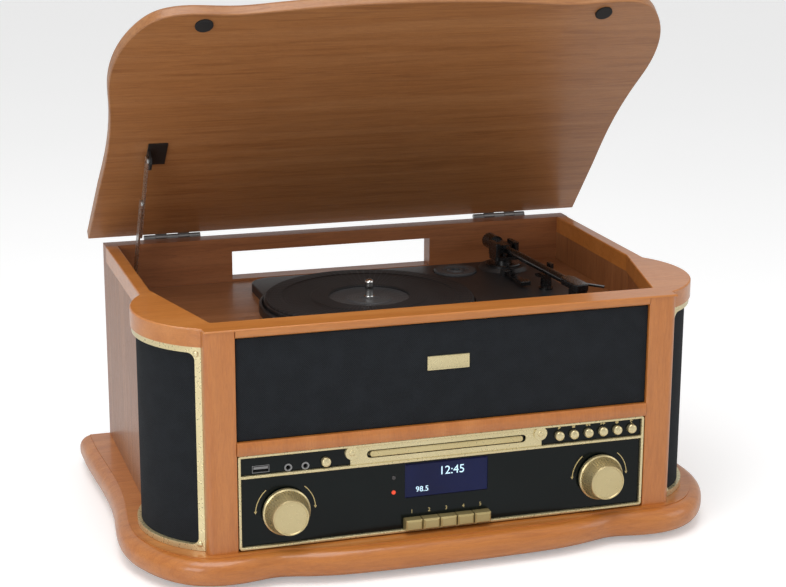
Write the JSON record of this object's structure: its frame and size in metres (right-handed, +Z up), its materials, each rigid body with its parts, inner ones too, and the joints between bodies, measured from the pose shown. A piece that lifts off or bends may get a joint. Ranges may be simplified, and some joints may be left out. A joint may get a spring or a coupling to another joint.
{
  "type": "retro record player",
  "caption": "Wooden music centre with lift-up lid, belt-driven record deck, curved speaker pods, disc drawer and radio fascia with knobs and keys.",
  "frame": {"origin": "centre of the footprint on the surface that the feet stand on", "axes": "+X to the right of someone facing the fascia, +Y to the back, +Z up"},
  "size_m": [0.4864, 0.3328, 0.4289],
  "materials": {
    "wood_base": "satin lacquered veneer, orange brown",
    "wood_sides": "satin lacquered vertical veneer",
    "wood_well": "satin lacquered veneer, red brown",
    "wood_front": "satin lacquered wood, light orange brown",
    "wood_deck": "satin veneer board",
    "wood_lid": "satin lacquered walnut veneer",
    "grille_cloth": "dark woven speaker cloth",
    "front_cloth": "dark woven cloth over board",
    "gold_trim": "champagne gold lacquer",
    "gold_knob": "champagne gold turned metal",
    "gold_button": "champagne gold plating",
    "drawer_gold": "champagne gold metallic plastic",
    "key_plastic": "champagne gold lacquer",
    "fascia_gloss": "polished black",
    "display_glass": "dark blue display window",
    "socket_metal": "nickel plated",
    "lens_red": "clear red",
    "chassis_plastic": "fine textured black",
    "black_plastic": "satin black",
    "arm_black": "satin black",
    "grey_plastic": "dark grey",
    "rubber_feet": "matt black",
    "hinge_steel": "plated steel",
    "stay_steel": "zinc plated strip",
    "black_bracket": "black paint",
    "speaker_black": "paper cone and pressed frame",
    "motor_steel": "plated can",
    "belt_rubber": "ground rubber",
    "board_green": "green board",
    "mechanism_grey": "moulded grey",
    "rear_plastic": "moulded black",
    "spindle_chrome": "polished",
    "platter_metal": "dark coated, turned edge",
    "mat_rubber": "ribbed black rubber",
    "pulley_brass": "turned",
    "shaft_steel": "turned"
  },
  "bodies": {
    "root": {"base_plinth": "wood_base", "feet": "rubber_feet", "side_panels": "wood_sides", "speaker_baffles": "wood_well", "back_panel": "wood_well", "front_frame": "wood_front", "top_frame": "wood_front", "grille_panels": "grille_cloth", "grille_frames": "gold_trim", "front_cloth_panel": "front_cloth", "fascia_panel": "fascia_gloss", "fascia_trim": "gold_trim", "display_module": "display_glass", "front_sockets": "socket_metal", "indicator_lenses": "lens_red", "deck_board": "wood_deck", "turntable_chassis": "chassis_plastic", "tonearm_base": "black_plastic", "arm_rest": "black_plastic", "adapter_45": "grey_plastic", "hinge_body_leaves": "hinge_steel", "stay_wall_bracket": "black_bracket", "speakers": "speaker_black", "platter_motor": "motor_steel", "drive_belt": "belt_rubber", "circuit_boards": "board_green", "cd_mechanism": "mechanism_grey", "rear_sockets": "rear_plastic", "spindle": "spindle_chrome"},
    "lid": {"lid": "wood_lid", "lid_bumpers": "rubber_feet", "hinge_lid_leaves": "hinge_steel", "stay_lid_bracket": "black_bracket"},
    "stay_lower": {"stay_lower_link": "stay_steel"},
    "stay_upper": {"stay_upper_link": "stay_steel"},
    "platter": {"platter": "platter_metal", "platter_mat": "mat_rubber"},
    "motor_pulley": {"motor_pulley": "pulley_brass"},
    "gimbal": {"tonearm_gimbal": "black_plastic"},
    "arm": {"tonearm": "arm_black", "headshell": "black_plastic"},
    "cue_lever": {"cue_lever": "black_plastic"},
    "volume_shaft": {"volume_shaft": "shaft_steel"},
    "volume_knob": {"volume_knob": "gold_knob"},
    "tuning_shaft": {"tuning_shaft": "shaft_steel"},
    "tuning_knob": {"tuning_knob": "gold_knob"},
    "cd_drawer": {"cd_drawer": "drawer_gold"},
    "speed_switch": {"speed_switch": "black_plastic"},
    "function_button": {"function_button": "gold_button"},
    "play_button": {"play_button": "gold_button"},
    "stop_button": {"stop_button": "gold_button"},
    "back_button": {"back_button": "gold_button"},
    "forward_button": {"forward_button": "gold_button"},
    "record_button": {"record_button": "gold_button"},
    "eject_button": {"eject_button": "gold_button"},
    "preset_key_1": {"preset_key_1": "key_plastic"},
    "preset_key_2": {"preset_key_2": "key_plastic"},
    "preset_key_3": {"preset_key_3": "key_plastic"},
    "preset_key_4": {"preset_key_4": "key_plastic"},
    "preset_key_5": {"preset_key_5": "key_plastic"}
  },
  "joints": [
    {"name": "lid_hinge", "type": "hinge", "parent": "root", "child": "lid", "pos_m": [0, 0.1595, 0.201], "axis": [1, 0, 0], "range_deg": [0, 45.5]},
    {"name": "stay_lower_pivot", "type": "hinge", "parent": "root", "child": "stay_lower", "pos_m": [-0.1912, 0.134, 0.172], "axis": [1, 0, 0], "range_deg": [0, 47.42]},
    {"name": "stay_upper_pivot", "type": "hinge", "parent": "lid", "child": "stay_upper", "pos_m": [-0.1894, 0.06549, 0.28668], "axis": [1, 0, 0], "range_deg": [-0.5, 1.92]},
    {"name": "platter_spin", "type": "hinge", "parent": "root", "child": "platter", "pos_m": [-0.014, 0.02, 0.17], "axis": [0, 0, 1], "continuous": true},
    {"name": "pulley_spin", "type": "hinge", "parent": "root", "child": "motor_pulley", "pos_m": [-0.069, -0.03, 0.165], "axis": [0, 0, 1], "continuous": true},
    {"name": "tonearm_swing", "type": "hinge", "parent": "root", "child": "gimbal", "pos_m": [0.134, 0.095, 0.18], "axis": [0, 0, -1], "range_deg": [0, 46]},
    {"name": "tonearm_lift", "type": "hinge", "parent": "gimbal", "child": "arm", "pos_m": [0.134, 0.095, 0.186], "axis": [-0.9979, -0.0653, 0], "range_deg": [-0.5, 4]},
    {"name": "cue_lever_lift", "type": "hinge", "parent": "root", "child": "cue_lever", "pos_m": [0.1265, 0.065, 0.1714], "axis": [-1, 0, 0], "range_deg": [0, 20]},
    {"name": "volume_push", "type": "slide", "parent": "root", "child": "volume_shaft", "axis": [0, 1, 0], "range_m": [0, 0.0015], "stiffness_N_per_m": 1500},
    {"name": "volume_turn", "type": "hinge", "parent": "volume_shaft", "child": "volume_knob", "pos_m": [-0.128, -0.151, 0.055], "axis": [0, 1, 0], "continuous": true},
    {"name": "tuning_push", "type": "slide", "parent": "root", "child": "tuning_shaft", "axis": [0, 1, 0], "range_m": [0, 0.0015], "stiffness_N_per_m": 1500},
    {"name": "tuning_turn", "type": "hinge", "parent": "tuning_shaft", "child": "tuning_knob", "pos_m": [0.128, -0.151, 0.055], "axis": [0, 1, 0], "continuous": true},
    {"name": "drawer_slide", "type": "slide", "parent": "root", "child": "cd_drawer", "axis": [0, -1, 0], "range_m": [0, 0.13]},
    {"name": "speed_select", "type": "slide", "parent": "root", "child": "speed_switch", "axis": [1, 0, 0], "range_m": [0, 0.01]},
    {"name": "function_button_push", "type": "slide", "parent": "root", "child": "function_button", "axis": [0, 1, 0], "range_m": [0, 0.0012], "stiffness_N_per_m": 900},
    {"name": "play_button_push", "type": "slide", "parent": "root", "child": "play_button", "axis": [0, 1, 0], "range_m": [0, 0.0012], "stiffness_N_per_m": 900},
    {"name": "stop_button_push", "type": "slide", "parent": "root", "child": "stop_button", "axis": [0, 1, 0], "range_m": [0, 0.0012], "stiffness_N_per_m": 900},
    {"name": "back_button_push", "type": "slide", "parent": "root", "child": "back_button", "axis": [0, 1, 0], "range_m": [0, 0.0012], "stiffness_N_per_m": 900},
    {"name": "forward_button_push", "type": "slide", "parent": "root", "child": "forward_button", "axis": [0, 1, 0], "range_m": [0, 0.0012], "stiffness_N_per_m": 900},
    {"name": "record_button_push", "type": "slide", "parent": "root", "child": "record_button", "axis": [0, 1, 0], "range_m": [0, 0.0012], "stiffness_N_per_m": 900},
    {"name": "eject_button_push", "type": "slide", "parent": "root", "child": "eject_button", "axis": [0, 1, 0], "range_m": [0, 0.0012], "stiffness_N_per_m": 900},
    {"name": "preset_key_1_push", "type": "slide", "parent": "root", "child": "preset_key_1", "axis": [0, 1, 0], "range_m": [0, 0.0012], "stiffness_N_per_m": 900},
    {"name": "preset_key_2_push", "type": "slide", "parent": "root", "child": "preset_key_2", "axis": [0, 1, 0], "range_m": [0, 0.0012], "stiffness_N_per_m": 900},
    {"name": "preset_key_3_push", "type": "slide", "parent": "root", "child": "preset_key_3", "axis": [0, 1, 0], "range_m": [0, 0.0012], "stiffness_N_per_m": 900},
    {"name": "preset_key_4_push", "type": "slide", "parent": "root", "child": "preset_key_4", "axis": [0, 1, 0], "range_m": [0, 0.0012], "stiffness_N_per_m": 900},
    {"name": "preset_key_5_push", "type": "slide", "parent": "root", "child": "preset_key_5", "axis": [0, 1, 0], "range_m": [0, 0.0012], "stiffness_N_per_m": 900}
  ],
  "couplings": [
    {"joint": "stay_lower_pivot", "follows": "lid_hinge", "ratio": 1.0311},
    {"joint": "stay_upper_pivot", "follows": "lid_hinge", "ratio": 0.03112},
    {"joint": "pulley_spin", "follows": "platter_spin", "ratio": 9.1667}
  ]
}
